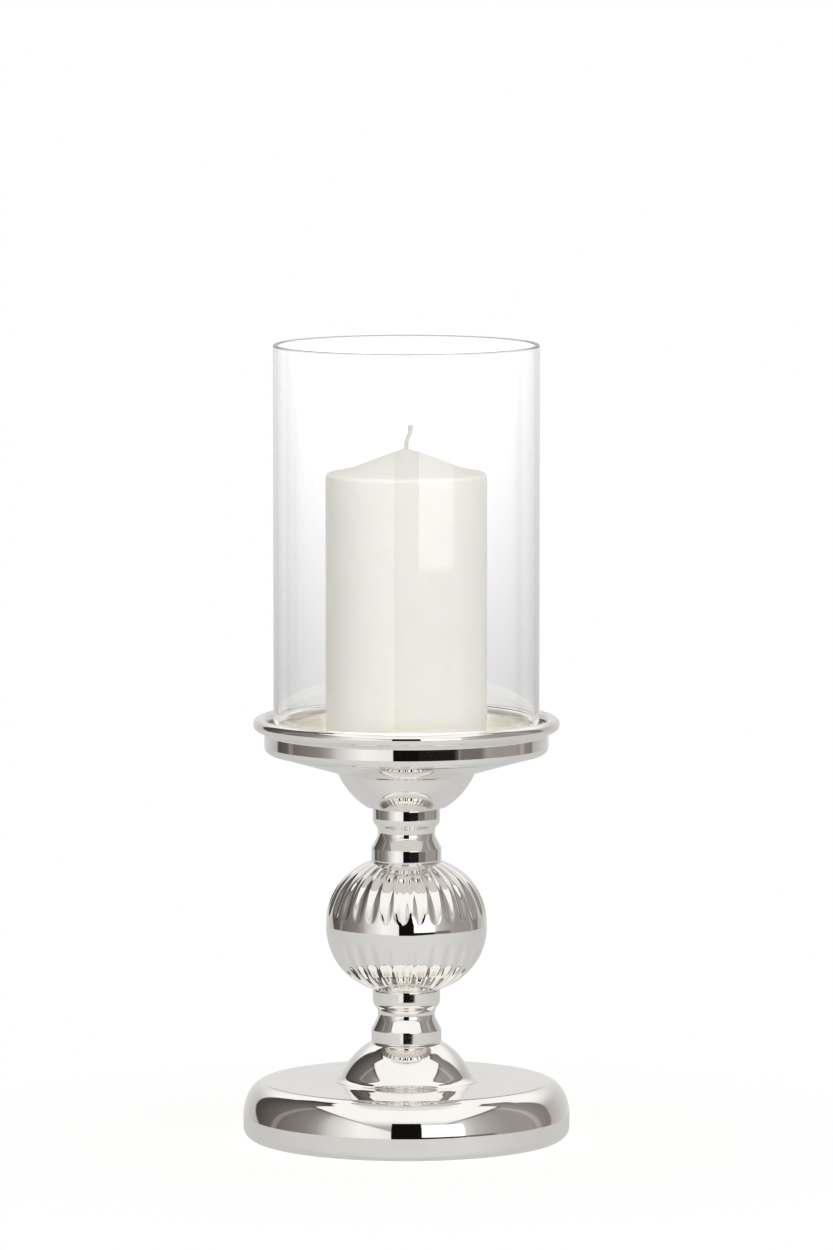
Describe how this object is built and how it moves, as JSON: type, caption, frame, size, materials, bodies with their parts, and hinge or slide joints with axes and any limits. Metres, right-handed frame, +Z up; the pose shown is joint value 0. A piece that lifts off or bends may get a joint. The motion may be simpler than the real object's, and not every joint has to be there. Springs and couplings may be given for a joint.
{
  "type": "hurricane lantern",
  "caption": "Polished silver-plated hurricane lantern: a fluted-ball stem on a round base carries a drip tray with a clear glass chimney around a pillar candle.",
  "frame": {"origin": "centre of the felt foot, on the surface that the lantern stands on", "axes": "+Z up along the stem's axis, -Y towards the viewer of the picture, +X to the viewer's right"},
  "size_m": [0.1624, 0.1624, 0.3968],
  "materials": {
    "silver_plate": "mirror-polished silver plate",
    "zinc_steel": "zinc-plated steel",
    "cast_iron": "rough casting",
    "felt": "pressed wool felt",
    "board": "pressed fibre board",
    "clear_glass": "clear polished glass",
    "ivory_wax": "smooth ivory wax",
    "cotton": "braided cotton"
  },
  "bodies": {
    "stand": {"felt_pad": "felt", "closing_board": "board", "base_shell": "silver_plate", "ballast_weight": "cast_iron", "tie_rod": "zinc_steel", "lower_nut": "zinc_steel", "spring_washer": "zinc_steel", "lower_washer": "zinc_steel", "lower_spool": "silver_plate", "fluted_ball": "silver_plate", "ball_spacer": "zinc_steel", "upper_spool": "silver_plate", "upper_washer": "zinc_steel", "upper_nut": "zinc_steel", "tray_bowl": "silver_plate", "drip_tray": "silver_plate"},
    "chimney": {"glass_chimney": "clear_glass"},
    "candle": {"pillar_candle": "ivory_wax", "wick": "cotton"}
  },
  "joints": [
    {"name": "chimney_lift", "type": "slide", "parent": "stand", "child": "chimney", "axis": [0, 0, 1], "range_m": [0, 0.2]},
    {"name": "candle_lift", "type": "slide", "parent": "stand", "child": "candle", "axis": [0, 0, 1], "range_m": [0, 0.21]}
  ]
}
